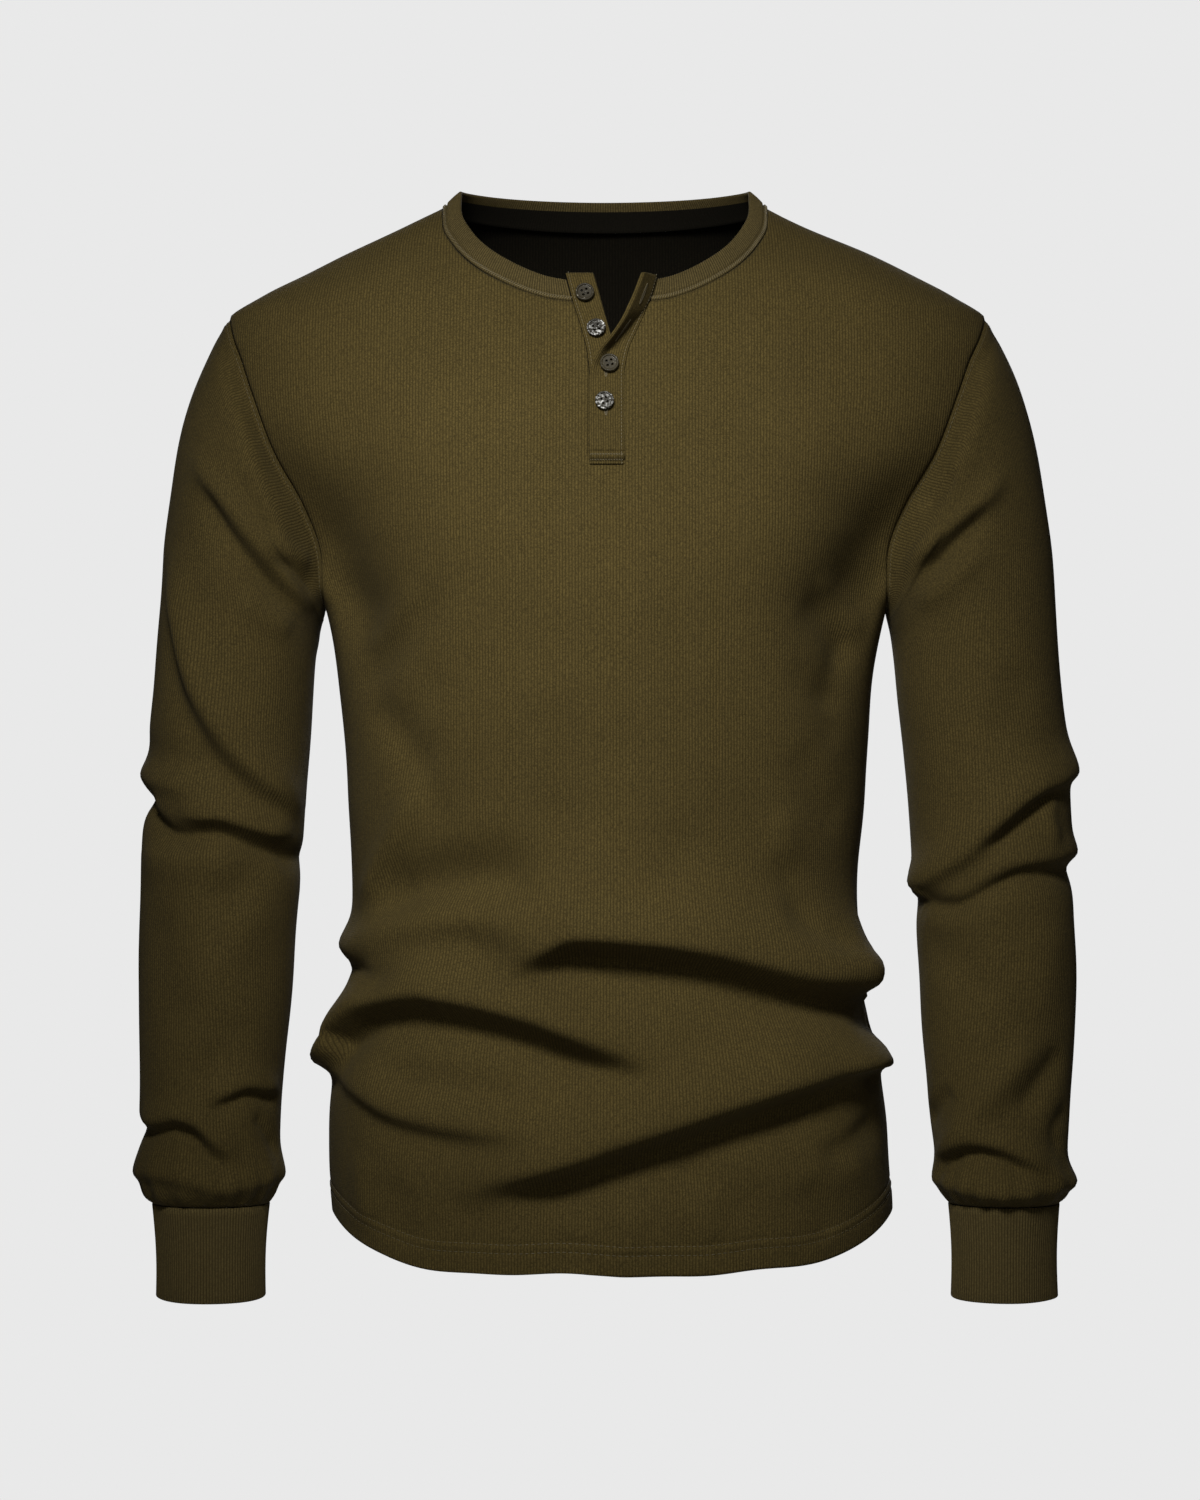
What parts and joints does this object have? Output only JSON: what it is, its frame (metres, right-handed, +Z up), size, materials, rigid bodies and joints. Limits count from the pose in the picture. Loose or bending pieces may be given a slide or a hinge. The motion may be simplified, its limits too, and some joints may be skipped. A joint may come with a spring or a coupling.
{
  "type": "henley shirt",
  "caption": "Long-sleeved henley shirt in olive fine-rib knit, worn shape with no wearer, with a part-open button placket, ribbed neckband and cuffs and a curved hem.",
  "frame": {"origin": "middle of the neck opening, level with the tops of the shoulders, where the wearer's neck and shoulders hold the shirt", "axes": "+Z up, -Y out of the chest (front), +X towards the wearer's left"},
  "size_m": [0.596, 0.2647, 0.7037],
  "materials": {
    "body_knit": "matte dark olive fine-rib cotton knit",
    "rib_knit": "matte dark olive rib trim",
    "button": "smoky horn-look polished button"
  },
  "bodies": {
    "root": {"front": "body_knit", "back": "body_knit", "right_sleeve": "body_knit", "left_sleeve": "body_knit", "right_cuff": "rib_knit", "left_cuff": "rib_knit", "neckband": "rib_knit", "placket_under": "body_knit", "placket_over": "body_knit", "button_1": "button", "button_2": "button", "button_3": "button", "button_4": "button"}
  },
  "joints": []
}
